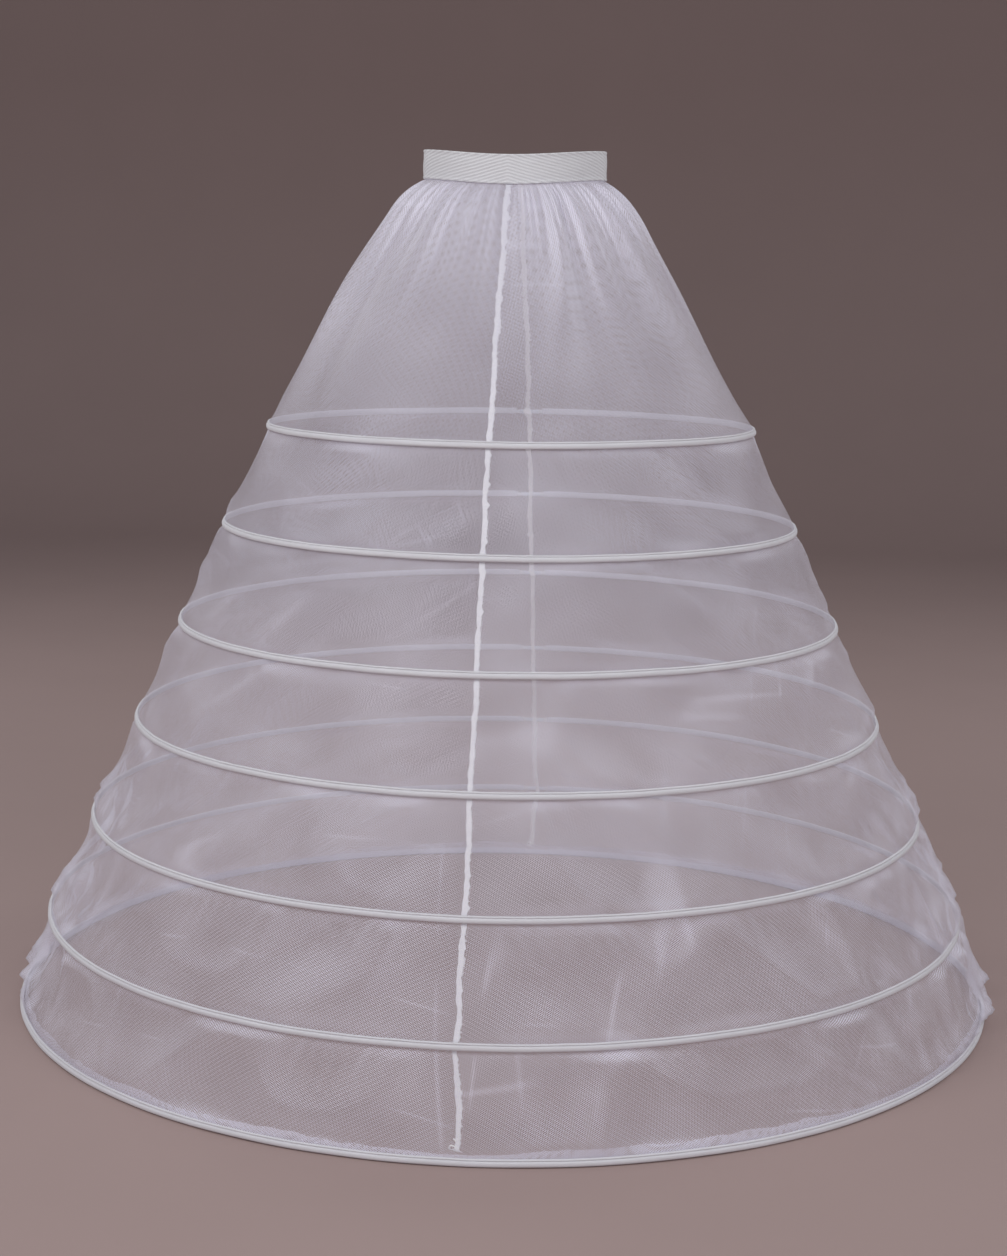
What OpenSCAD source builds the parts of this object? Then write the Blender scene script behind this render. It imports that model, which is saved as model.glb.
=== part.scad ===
// Hoop petticoat: a crinoline cage of stiff white net.
// Two net panels are gathered into an elastic waistband and sewn together at the
// centre front and back. Flat boning runs round them in tape casings sewn to the outside.
// The origin is the middle of the waist opening, +Z is up and the front faces -Y.

/* [Waist] */
// Width of the waist opening, side to side
waist_width = 216; // [180:1:260]
// Depth of the waist opening, front to back
waist_depth = 178; // [150:1:230]
// Height of the elastic waistband
waistband_height = 34; // [24:1:60]
// Thickness of the elastic
waistband_thick = 2; // [1:0.1:4]
// How far the waistband dips at the centre front
waist_dip = 8; // [0:0.5:15]
// How far the net runs up behind the waistband
waist_overlap = 12; // [5:1:20]

/* [Hoops] */
// Number of hoops above the hem hoop
upper_hoops = 6; // [3:1:7]
// Diameter over the casing of the top hoop
top_hoop_diameter = 595; // [480:1:700]
// Growth in diameter from one hoop to the next
hoop_growth = 107; // [40:1:140]
// Growth in diameter from the last upper hoop to the hem hoop
hem_growth = 70; // [20:1:140]
// Drop from the middle of the waistband to the top hoop
top_hoop_drop = 312; // [220:1:400]
// Drop from one hoop to the next
hoop_drop = 117.5; // [90:0.5:160]
// Drop from the last upper hoop to the hem hoop
hem_drop = 108; // [90:0.5:160]

/* [Boning] */
// Height of the flat boning
bone_height = 4; // [3:0.5:10]
// Thickness of the boning with its sheath
bone_thick = 1.8; // [1.4:0.1:3.6]
// Gap between the two ends of a hoop
bone_end_gap = 2; // [0.5:0.5:6]
// Length of the sleeve that joins the two ends
joiner_length = 26; // [16:1:40]
// Wall of the joining sleeve
joiner_wall = 0.6; // [0.4:0.1:0.8]

/* [Casings] */
// Thickness of the casing tape, which is folded round the boning
tape_thick = 0.8; // [0.6:0.1:2]
// Height of the doubled tape edge that is sewn to the net above the boning
tape_edge = 1.4; // [1:0.2:6]
// Bare boning left between the tape and the joining sleeve
bare_bone = 5; // [2:0.5:12]

/* [Net] */
// Thickness of the net
net_thick = 0.6; // [0.3:0.1:1.2]
// Gathers sewn into the waist of each panel
gathers_per_panel = 15; // [10:1:18]
// Depth of a gather just below the waistband
gather_depth = 5; // [0:0.5:8]
// Distance over which the gathers fade out
gather_fade = 90; // [40:5:160]
// How far the net puffs out right under the waistband
waist_puff = 18; // [4:1:50]
// How far the net swells out again right under each hoop
hoop_bloom = 4; // [0:0.5:5]
// Hang of the net between hoops: 1 is straight, more falls in between them
tier_hang = 1.15; // [1:0.05:1.8]
// Height of the turned-up hem edge that shows above the hem casing
turn_up_show = 12; // [4:1:16]

/* [Seams] */
// Width of the bound seams at the centre front and back
seam_width = 7; // [4:0.5:10]
// Thickness of the bound seams
seam_thick = 1.4; // [0.8:0.1:3]

/* [Fit] */
// Clearance between sewn neighbours
clearance = 0.3; // [0.2:0.05:0.5]
// Play of the boning in its casing
bone_play = 0.5; // [0.5:0.1:1]
// Clearance of the boning in its joining sleeve
sleeve_fit = 0.1; // [0.05:0.05:0.2]

/* [Hidden] */
$fn = 96;
hoops = upper_hoops + 1;

cloth_white = [0.90, 0.89, 0.93];
bone_white = [0.86, 0.86, 0.88];
joiner_clear = [0.80, 0.82, 0.86];

// Casing section: the tape is folded round the boning, and its edges stand up on the net
tunnel_depth = bone_thick + 2 * bone_play;
tunnel_height = bone_height + 2 * bone_play;
casing_depth = tunnel_depth + 2 * tape_thick;
tube_height = tunnel_height + 2 * tape_thick;

// Net grid: two columns to a gather, rows crowded under the waist and under each hoop
columns = 2 * gathers_per_panel;
column_step = 180 / columns;
yoke_rows = 8;
yoke_crowding = 1.8;
tier_rows = 4;
tier_crowding = 1.6;
puff_share = 0.06;
gather_start = 8;

// Sides of a round edge: straight ones, which revolve into plain cones
edge_sides = 12;

function hoop_radius(i) =
    (top_hoop_diameter + (min(i, upper_hoops) - 1) * hoop_growth
    + (i > upper_hoops ? hem_growth : 0)) / 2;
function hoop_height(i) =
    -top_hoop_drop - (min(i, upper_hoops) - 1) * hoop_drop
    - (i > upper_hoops ? hem_drop : 0);
function casing_radius(i) = hoop_radius(i) - casing_depth;
function bone_radius(i) = hoop_radius(i) - casing_depth / 2;
function casing_top(i) = hoop_height(i) + tube_height / 2 + tape_edge;
function casing_bottom(i) = hoop_height(i) - tube_height / 2;
function net_radius(i) = casing_radius(i) - clearance;

function mix(a, b, t) = a + (b - a) * t;
function angle_at(k) = -90 + k * column_step;

// Oval waist, dipping at the centre front
function waist_radius(a) =
    waist_width * waist_depth / 2
    / sqrt(pow(waist_depth * cos(a), 2) + pow(waist_width * sin(a), 2));
function waist_height(a) = -waist_dip * pow(max(0, -sin(a)), 2);
function band_bottom(a) = waist_height(a) - waistband_height / 2;

// Net between the waistband and the top hoop, t from 0 at the band to 1 at the hoop
function gather_at(k, t, fall) =
    (k % 2 == 0 ? -1 : 1) * gather_depth * exp(-fall / gather_fade)
    * (1 - exp(-fall / gather_start)) * (1 - t);
function yoke_point(k, t) =
    let (a = angle_at(k),
        start = waist_radius(a) - clearance,
        bottom = band_bottom(a) - clearance,
        fall = t * (bottom - casing_top(1)),
        puff = waist_puff * (1 - exp(-t / puff_share)))
    [mix(start + puff, net_radius(1), t) + gather_at(k, t, fall), bottom - fall];

// Net from one hoop to the next, t from 0 under hoop i to 1 on top of the next casing
function tier_point(i, t) =
    let (bloom = hoop_bloom * (1 - exp(-t / puff_share)))
    [mix(net_radius(i) + bloom, net_radius(i + 1), pow(t, tier_hang)),
     mix(casing_bottom(i), casing_top(i + 1), t)];
function tier_share(m) = pow(m / tier_rows, tier_crowding);

// Outer line of the net at a column, as [radius, height] from the waist to the hem
function net_line(k) =
    let (a = angle_at(k))
    concat(
        [[waist_radius(a) - clearance, band_bottom(a) + waist_overlap]],
        [for (j = [0:yoke_rows]) yoke_point(k, pow(j / yoke_rows, yoke_crowding))],
        [for (i = [1:upper_hoops]) each concat(
            [[net_radius(i), casing_bottom(i)]],
            [for (m = [1:tier_rows]) tier_point(i, tier_share(m))])],
        [[net_radius(hoops), casing_bottom(hoops)]]
    );

// Point of the outer line at a height above the top of the hem casing
function above_hem(h) =
    let (top = tier_point(upper_hoops, 1),
        next = tier_point(upper_hoops, tier_share(tier_rows - 1)))
    mix(top, next, h / (next[1] - top[1]));
function inward(p, d) = [p[0] - d, p[1]];

// Closed section of the net at a column: down, turned up inside the hem, and back.
// Each point of its first half has the point across the net's thickness in its second half.
function net_section(k) =
    let (line = net_line(k),
        last = len(line) - 1,
        fold_back = net_thick + clearance,
        fold_front = fold_back + net_thick,
        edge = above_hem(turn_up_show))
    concat(
        line,
        [inward(line[last], fold_front), inward(line[last - 1], fold_front),
         inward(edge, fold_front), inward(edge, fold_back),
         inward(line[last - 1], fold_back),
         inward(line[last], fold_back) + [0, net_thick],
         inward(line[last], net_thick) + [0, net_thick]],
        [for (j = [last - 1:-1:0]) inward(line[j], net_thick)]
    );

function around(section, a) = [for (p = section) [p[0] * cos(a), p[0] * sin(a), p[1]]];

// Skin over sections of equal length, closed into a ring or capped at both ends.
// A cap is a strip between the two halves of its section.
module loft(sections, ring) {
    n = len(sections[0]);
    c = len(sections);
    end = (c - 1) * n;
    sides = [
        for (i = [0:ring ? c - 1 : c - 2], j = [0:n - 1])
            let (p = i * n + j,
                q = i * n + (j + 1) % n,
                r = ((i + 1) % c) * n + j,
                s = ((i + 1) % c) * n + (j + 1) % n)
            each [[p, s, q], [p, r, s]]
    ];
    caps = ring ? [] : [
        for (j = [0:n / 2 - 2])
            let (strip = [j, j + 1, n - 2 - j, n - 1 - j])
            each [strip, [for (m = [3:-1:0]) end + strip[m]]]
    ];
    polyhedron(points = [for (s = sections) each s], faces = concat(sides, caps));
}

module waistband() {
    color(cloth_white)
    loft([
        for (k = [0:2 * columns - 1])
            let (a = angle_at(k),
                inner = waist_radius(a),
                outer = inner + waistband_thick,
                low = band_bottom(a),
                high = low + waistband_height)
            around([[outer, high], [outer, low], [inner, low], [inner, high]], a)
    ], true);
}

module net_panel_right() {
    color(cloth_white)
    loft([for (k = [0:columns]) around(net_section(k), angle_at(k))], false);
}

module net_panel_left() {
    mirror([1, 0, 0]) net_panel_right();
}

// Bound seam, lying flat on the inside of the net from the waist to the turned-up hem
module seam(k) {
    line = net_line(k);
    foot = above_hem(turn_up_show + clearance);
    path = concat([for (j = [0:len(line) - 3]) line[j]], [foot]);
    lean = seam_width / 2 * tan(column_step / 2);
    face = net_thick + clearance + lean;
    back = face + seam_thick;
    color(cloth_white)
    rotate([90, 0, angle_at(k)])
    linear_extrude(height = seam_width, center = true)
    polygon(concat(
        [for (p = path) inward(p, face)],
        [for (j = [len(path) - 1:-1:0]) inward(path[j], back)]
    ));
}

module front_seam() seam(0);
module back_seam() seam(columns);

// Flat oval with full round edges
module flat_oval(thick, height) {
    translate([-thick / 2, -(height - thick) / 2]) square([thick, height - thick]);
    for (side = [-1, 1])
        translate([0, side * (height - thick) / 2]) circle(d = thick, $fn = edge_sides);
}

// Revolve about the axis, leaving an open length of arc at the centre back
module open_ring(radius, open_length) {
    open_angle = open_length / radius * 180 / PI;
    rotate([0, 0, 90 + open_angle / 2])
    rotate_extrude(angle = 360 - open_angle) children();
}

module casing(i) {
    color(cloth_white)
    translate([0, 0, hoop_height(i)])
    open_ring(bone_radius(i), joiner_length + 2 * bare_bone)
    difference() {
        union() {
            translate([bone_radius(i), 0]) flat_oval(casing_depth, tube_height);
            translate([casing_radius(i), 0])
            square([2 * tape_thick, tube_height / 2 + tape_edge]);
        }
        translate([bone_radius(i), 0]) flat_oval(tunnel_depth, tunnel_height);
    }
}

module hoop(i) {
    color(bone_white)
    translate([0, 0, hoop_height(i)])
    open_ring(bone_radius(i), bone_end_gap)
    translate([bone_radius(i), 0])
    flat_oval(bone_thick, bone_height);
}

module hoop_joiner(i) {
    angle = joiner_length / bone_radius(i) * 180 / PI;
    bore = 2 * sleeve_fit;
    wall = 2 * joiner_wall;
    color(joiner_clear)
    translate([0, 0, hoop_height(i)])
    rotate([0, 0, 90 - angle / 2])
    rotate_extrude(angle = angle)
    translate([bone_radius(i), 0])
    difference() {
        flat_oval(bone_thick + bore + wall, bone_height + bore + wall);
        flat_oval(bone_thick + bore, bone_height + bore);
    }
}

waistband();
net_panel_left();
net_panel_right();
front_seam();
back_seam();
for (i = [1:hoops]) {
    casing(i);
    hoop(i);
    hoop_joiner(i);
}
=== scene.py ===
import math

import bpy
import numpy as np
from mathutils import Matrix, Vector


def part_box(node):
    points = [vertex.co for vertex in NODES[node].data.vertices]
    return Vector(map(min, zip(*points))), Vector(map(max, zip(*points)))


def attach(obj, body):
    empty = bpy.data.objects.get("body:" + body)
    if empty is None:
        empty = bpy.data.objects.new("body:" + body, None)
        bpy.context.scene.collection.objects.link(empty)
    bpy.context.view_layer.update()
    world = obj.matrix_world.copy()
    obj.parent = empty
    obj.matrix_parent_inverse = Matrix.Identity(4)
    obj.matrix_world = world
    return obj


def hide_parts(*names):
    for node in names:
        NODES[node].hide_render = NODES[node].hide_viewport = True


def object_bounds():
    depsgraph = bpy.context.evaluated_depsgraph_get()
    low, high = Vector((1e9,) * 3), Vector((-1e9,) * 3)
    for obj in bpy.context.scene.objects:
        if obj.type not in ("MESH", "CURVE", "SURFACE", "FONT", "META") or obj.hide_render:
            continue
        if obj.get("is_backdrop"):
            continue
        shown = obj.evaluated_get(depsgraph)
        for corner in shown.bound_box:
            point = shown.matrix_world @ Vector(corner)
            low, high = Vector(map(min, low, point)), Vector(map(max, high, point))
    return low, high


bl_info = {
    "name": "Hoop Petticoat",
    "version": (1, 0, 0),
    "blender": (4, 5, 0),
    "location": "3D View > Sidebar > Petticoat",
    "description": "Dresses the hoop petticoat frame in net, tape, elastic and stitching",
    "category": "Object",
}

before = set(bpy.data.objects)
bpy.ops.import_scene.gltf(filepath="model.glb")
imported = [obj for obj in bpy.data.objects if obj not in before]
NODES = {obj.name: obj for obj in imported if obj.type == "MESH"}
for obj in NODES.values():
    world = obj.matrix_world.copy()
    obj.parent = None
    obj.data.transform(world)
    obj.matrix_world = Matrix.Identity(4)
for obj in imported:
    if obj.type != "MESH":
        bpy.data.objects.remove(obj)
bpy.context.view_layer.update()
BOXES = {name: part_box(name) for name in NODES}
HOOPS = len([name for name in NODES if name.startswith("casing_")])
FRONT, BACK = -math.pi / 2, math.pi / 2

# Name, side, seed of the folds, and slack in the yoke and the low tiers of each net panel
PANELS = (("right", 1, 11, (-0.006, 0.0)), ("left", -1, 57, (-0.004, -0.010)))
YOKE_ROWS, TIER_ROWS = 62, 24
SEAMS = (("front_seam", FRONT, 500), ("back_seam", BACK, 540))

# Steps along the pieces: points round the waistband, and lengths along a casing and a seam
WAIST_STEPS, CASING_STEP, SEAM_STEP = 288, 0.009, 0.0025

# Small gaps: net behind the casings and the waistband, seam behind the net
NET_GAP, WAIST_GAP, SEAM_GAP = 0.0003, 0.0004, 0.0008

# Flat cut of a panel: radius of its waist edge, and its opening as a share of the panel's half turn
CUT_RADIUS, CUT_OPENING = 0.247, 0.438

# Slanting rows of the net: direction on the cut cloth, spacing, and how far they widen the threads
HATCH_ACROSS, HATCH_ALONG, HATCH_SPACING, HATCH_WIDTH = 0.9, 0.43, 0.0042, 0.23

# Where the top casing's tape is joined, in radians from the centre front
TAPE_JOIN = (0.24, 0.31)

# Stitching line in the groove of a casing, out and up from its boning
STITCH_OUT, STITCH_UP = -0.0001, 0.0028

# How the overlocked seams and their loose loops are sewn
OVERLOCK = {"spacing": 0.0024, "width": 0.0010, "slant": math.radians(64), "uneven": 0.42}
LOOPS = {"spacing": 0.0085, "length": 0.0052, "width": 0.0013, "slant": math.radians(20), "uneven": 1.3}
WAIST_SEWING = {"spacing": 0.0034, "length": 0.0027, "width": 0.00055, "slant": 0.12}

# Name, place, size and power of each lamp
LAMPS = (
    ("key", (-1.5, -1.6, 1.1), 1.2, 23),
    ("fill", (1.7, -1.6, 1.0), 1.2, 16),
    ("front", (0.5, -3.4, 0.3), 1.6, 12),
    ("rim_left", (-2.2, 1.9, 1.2), 1.4, 14),
    ("rim_right", (2.3, 1.9, 1.2), 1.4, 16),
)
LAMP_AIM = Vector((0, 0, -0.30))
WORLD_COLOUR, WORLD_STRENGTH = (0.94, 0.95, 1.0, 1), 0.30

# Camera fitted to the hoops in the photograph
CAMERA_DISTANCE, CAMERA_HEIGHT, CAMERA_LENS = 2.659, -0.124, 62.3
CAMERA_AZIMUTH, CAMERA_TURN = math.radians(4.7), math.radians(0.12)
CAMERA_PITCH, CAMERA_ROLL = math.radians(9.34), math.radians(0.85)


class PetticoatSizes(bpy.types.PropertyGroup):
    """Sizes of the cloth, the tape and the sewing"""

    net_pitch: bpy.props.FloatProperty(
        name="Net Pitch", description="Distance between two holes of the net", default=0.0019, unit="LENGTH")
    net_thread: bpy.props.FloatProperty(
        name="Net Thread", description="Width of the net's threads", default=0.00036, unit="LENGTH")
    net_columns: bpy.props.IntProperty(
        name="Net Columns", description="Mesh columns across one net panel", default=400, min=24)
    gathers: bpy.props.IntProperty(
        name="Gathers", description="Small gathers sewn into the waist of one panel", default=44)
    gather_depth: bpy.props.FloatProperty(
        name="Gather Depth", description="Depth of a small gather", default=0.0030, unit="LENGTH")
    drag_folds: bpy.props.IntProperty(
        name="Drag Folds", description="Soft folds that fall from the waist of one panel", default=12)
    drag_depth: bpy.props.FloatProperty(
        name="Drag Depth", description="Depth of a soft fold", default=0.0090, unit="LENGTH")
    waist_puff: bpy.props.FloatProperty(
        name="Waist Puff", description="How far the net swells out under the waistband",
        default=0.018, unit="LENGTH")
    hoop_bloom: bpy.props.FloatProperty(
        name="Hoop Bloom", description="How far the net swells out under a hoop",
        default=0.004, unit="LENGTH")
    tier_hang: bpy.props.FloatProperty(
        name="Tier Hang", description="Hang of the net between hoops, where 1 is straight", default=1.15)
    turn_up: bpy.props.FloatProperty(
        name="Turn-up", description="Most that the turned-up net shows above the hem casing",
        default=0.013, unit="LENGTH")
    side_fold: bpy.props.FloatProperty(
        name="Side Fold", description="Depth of the folds at the sides of the lowest tiers",
        default=0.0085, unit="LENGTH")
    casing_depth: bpy.props.FloatProperty(
        name="Casing Depth", description="Depth of a casing from the net outwards",
        default=0.0044, unit="LENGTH")
    casing_opening: bpy.props.FloatProperty(
        name="Casing Opening", description="Length of bare hoop at the centre back",
        default=0.036, unit="LENGTH")
    tape_lap: bpy.props.FloatProperty(
        name="Tape Lap", description="Step where the top casing's tape is joined at the front",
        default=0.0006, unit="LENGTH")
    stitch_spacing: bpy.props.FloatProperty(
        name="Stitch Spacing", description="Distance from stitch to stitch", default=0.0036, unit="LENGTH")
    stitch_length: bpy.props.FloatProperty(
        name="Stitch Length", description="Length of one stitch", default=0.0026, unit="LENGTH")
    stitch_width: bpy.props.FloatProperty(
        name="Stitch Width", description="Width of the sewing thread", default=0.0005, unit="LENGTH")
    seam_width: bpy.props.FloatProperty(
        name="Seam Width", description="Width of an overlocked seam", default=0.0062, unit="LENGTH")
    seam_thickness: bpy.props.FloatProperty(
        name="Seam Thickness", description="Thickness of an overlocked seam", default=0.0014, unit="LENGTH")
    seam_stray: bpy.props.FloatProperty(
        name="Seam Stray", description="How far a seam strays sideways in the lowest tier",
        default=0.0060, unit="LENGTH")


class PetticoatColours(bpy.types.PropertyGroup):
    """Colours of the finishes and the stage"""

    net: bpy.props.FloatVectorProperty(
        name="Net", description="Colour of the net",
        default=(0.87, 0.845, 0.98), size=3, subtype="COLOR")
    tape: bpy.props.FloatVectorProperty(
        name="Tape", description="Colour of the casing tape",
        default=(0.80, 0.79, 0.84), size=3, subtype="COLOR")
    elastic: bpy.props.FloatVectorProperty(
        name="Elastic", description="Colour of the waistband",
        default=(0.76, 0.76, 0.79), size=3, subtype="COLOR")
    thread: bpy.props.FloatVectorProperty(
        name="Thread", description="Colour of the sewing thread",
        default=(0.94, 0.93, 0.95), size=3, subtype="COLOR")
    boning: bpy.props.FloatVectorProperty(
        name="Boning", description="Colour of the covered hoops",
        default=(0.83, 0.83, 0.85), size=3, subtype="COLOR")
    joiner: bpy.props.FloatVectorProperty(
        name="Joiner", description="Colour of the hoop joiners",
        default=(0.76, 0.79, 0.84), size=3, subtype="COLOR")
    floor: bpy.props.FloatVectorProperty(
        name="Floor", description="Colour of the floor and backdrop",
        default=(0.40, 0.295, 0.28), size=3, subtype="COLOR")


# Measures of the frame, taken from the boxes of its nodes

def hoop_radius(i):
    return BOXES[f"casing_{i}"][1].x


def casing_top(i):
    return BOXES[f"casing_{i}"][1].z


def casing_bottom(i):
    return BOXES[f"casing_{i}"][0].z


def hoop_height(i):
    low, high = BOXES[f"hoop_{i}"]
    return (low.z + high.z) / 2


def net_radius(i, sizes):
    return hoop_radius(i) - sizes.casing_depth - NET_GAP


class Waist:
    """Oval of the waistband, as its node has it"""

    low, high = BOXES["waistband"]
    thickness = 0.002
    height = 0.034
    width = high.x - thickness
    depth = high.y - thickness
    dip = high.z - low.z - height
    overlap = 0.012

    @classmethod
    def radius(cls, angle):
        return cls.width * cls.depth / np.hypot(cls.depth * np.cos(angle), cls.width * np.sin(angle))

    @classmethod
    def bottom(cls, angle):
        return cls.high.z - cls.height - cls.dip * np.maximum(0, -np.sin(angle)) ** 2


# Smooth fields and mesh helpers

def mix(a, b, t):
    return a + (b - a) * t


def ease(x):
    x = np.clip(x, 0, 1)
    return x * x * (3 - 2 * x)


def ripple(x, y, seed, shortest, longest, waves=14):
    """Smooth random field of waves between two lengths, about -1 to 1"""
    rng = np.random.default_rng(seed)
    total = np.zeros(np.broadcast(x, y).shape)
    for _ in range(waves):
        length = math.exp(rng.uniform(math.log(shortest), math.log(longest)))
        turn = rng.uniform(0, math.pi)
        phase = rng.uniform(0, 2 * math.pi)
        total = total + np.sin(2 * math.pi * (x * math.cos(turn) + y * math.sin(turn)) / length + phase)
    return total / math.sqrt(waves) / 1.4


def ridges(x, y, seed, shortest, longest, waves=8):
    """Random field of sharp-edged folds, about -1 to 1"""
    return 1 - 2 * np.abs(ripple(x, y, seed, shortest, longest, waves))


def polar(r, angle, z):
    """Points at a radius, an angle and a height"""
    return np.stack(np.broadcast_arrays(r * np.cos(angle), r * np.sin(angle), z), -1)


def beside(angle, r, aside, z):
    """Points at a radius and a height, moved sideways from one angle"""
    x = r * math.cos(angle) - aside * math.sin(angle)
    y = r * math.sin(angle) + aside * math.cos(angle)
    return np.stack(np.broadcast_arrays(x, y, z), -1)


def strip_faces(rows, columns, flip=False):
    """Quads over a grid of rows and columns of points"""
    r, c = np.meshgrid(np.arange(rows - 1), np.arange(columns - 1), indexing="ij")
    corner = r * columns + c
    quads = np.stack([corner, corner + columns, corner + columns + 1, corner + 1], -1).reshape(-1, 4)
    return quads[:, ::-1] if flip else quads


def new_piece(name, points, faces, material, uv=None, values=None):
    """Mesh object at the origin with smooth faces and, if given, a UV and named values for each point"""
    mesh = bpy.data.meshes.new(name)
    mesh.from_pydata(np.asarray(points).reshape(-1, 3).tolist(), [], [[int(p) for p in f] for f in faces])
    if uv is not None:
        corner = np.empty(len(mesh.loops), dtype=np.int32)
        mesh.loops.foreach_get("vertex_index", corner)
        layer = mesh.uv_layers.new(name="cut")
        layer.data.foreach_set("uv", np.asarray(uv).reshape(-1, 2)[corner].astype(np.float32).ravel())
    for key, value in (values or {}).items():
        mesh.attributes.new(key, "FLOAT", "POINT").data.foreach_set("value", value.astype(np.float32).ravel())
    mesh.shade_smooth()
    mesh.materials.append(material)
    piece = bpy.data.objects.new(name, mesh)
    bpy.context.scene.collection.objects.link(piece)
    return piece


def keep_modified(piece):
    """Replaces a piece's mesh by its modified one and drops the modifiers"""
    graph = bpy.context.evaluated_depsgraph_get()
    graph.update()
    old = piece.data
    piece.data = bpy.data.meshes.new_from_object(piece.evaluated_get(graph))
    piece.data.name = piece.name
    piece.modifiers.clear()
    bpy.data.meshes.remove(old)


def place(piece, slot, *nodes):
    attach(piece, "root")
    if nodes:
        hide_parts(*nodes)


# Materials

class Finish:
    """A material with a Principled shader and short ways to add nodes"""

    def __init__(self, name, colour, roughness, sheen=0.0):
        self.material = bpy.data.materials.new(name)
        self.material.use_nodes = True
        self.nodes = self.material.node_tree.nodes
        self.links = self.material.node_tree.links
        self.shader = self.nodes["Principled BSDF"]
        self.shader.inputs["Base Color"].default_value = (*colour, 1)
        self.shader.inputs["Roughness"].default_value = roughness
        self.shader.inputs["Sheen Weight"].default_value = sheen
        self.coords = self.nodes.new("ShaderNodeTexCoord")

    def feed(self, socket, value):
        if isinstance(value, bpy.types.NodeSocket):
            self.links.new(value, socket)
        else:
            socket.default_value = value

    def node(self, kind, **settings):
        made = self.nodes.new(kind)
        for key, value in settings.items():
            setattr(made, key, value)
        return made

    def math(self, operation, *values):
        made = self.node("ShaderNodeMath", operation=operation)
        for socket, value in zip(made.inputs, values):
            self.feed(socket, value)
        return made.outputs[0]

    def vector(self, operation, *values):
        made = self.node("ShaderNodeVectorMath", operation=operation)
        for socket, value in zip(made.inputs, values):
            self.feed(socket, value)
        return made.outputs["Value" if operation == "DOT_PRODUCT" else "Vector"]

    def split(self, vector):
        made = self.node("ShaderNodeSeparateXYZ")
        self.feed(made.inputs[0], vector)
        return made.outputs

    def noise(self, scale, detail=2.0, vector=None, dimensions="3D"):
        made = self.node("ShaderNodeTexNoise", noise_dimensions=dimensions)
        self.feed(made.inputs["Vector"], vector or self.coords.outputs["Object"])
        made.inputs["Scale"].default_value = scale
        made.inputs["Detail"].default_value = detail
        return made.outputs["Fac"]

    def scaled(self, value, by):
        return self.math("MULTIPLY", value, by)

    def wave(self, value, length):
        return self.math("SINE", self.scaled(value, 2 * math.pi / length))

    def creases(self, turn, long, short, thin):
        """Thin creases on the cut cloth: level lines of a noise drawn out in one direction"""
        drawn = self.node("ShaderNodeMapping", vector_type="TEXTURE")
        self.feed(drawn.inputs["Vector"], self.coords.outputs["UV"])
        drawn.inputs["Rotation"].default_value = (0, 0, math.radians(turn))
        drawn.inputs["Scale"].default_value = (long, short, 1)
        level = self.noise(1.0, 0.0, drawn.outputs["Vector"], "2D")
        return self.step(self.math("ABSOLUTE", self.math("SUBTRACT", level, 0.5)), thin, 0.0)

    def step(self, value, low, high, smooth="SMOOTHSTEP"):
        made = self.node("ShaderNodeMapRange", interpolation_type=smooth)
        self.feed(made.inputs["Value"], value)
        self.feed(made.inputs["From Min"], low)
        self.feed(made.inputs["From Max"], high)
        return made.outputs["Result"]

    def tint(self, factor, low, high):
        made = self.node("ShaderNodeMix", data_type="RGBA")
        self.feed(made.inputs["Factor"], factor)
        made.inputs["A"].default_value = (*low, 1)
        made.inputs["B"].default_value = (*high, 1)
        self.links.new(made.outputs["Result"], self.shader.inputs["Base Color"])

    def bump(self, height, distance, strength=1.0):
        made = self.node("ShaderNodeBump")
        self.feed(made.inputs["Height"], height)
        made.inputs["Distance"].default_value = distance
        made.inputs["Strength"].default_value = strength
        self.links.new(made.outputs["Normal"], self.shader.inputs["Normal"])

    def rough(self, factor, low, high):
        made = self.node("ShaderNodeMapRange")
        self.feed(made.inputs["Value"], factor)
        made.inputs["To Min"].default_value = low
        made.inputs["To Max"].default_value = high
        self.links.new(made.outputs["Result"], self.shader.inputs["Roughness"])


def shade(colour, by):
    return tuple(min(1.0, c * by) for c in colour)


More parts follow.
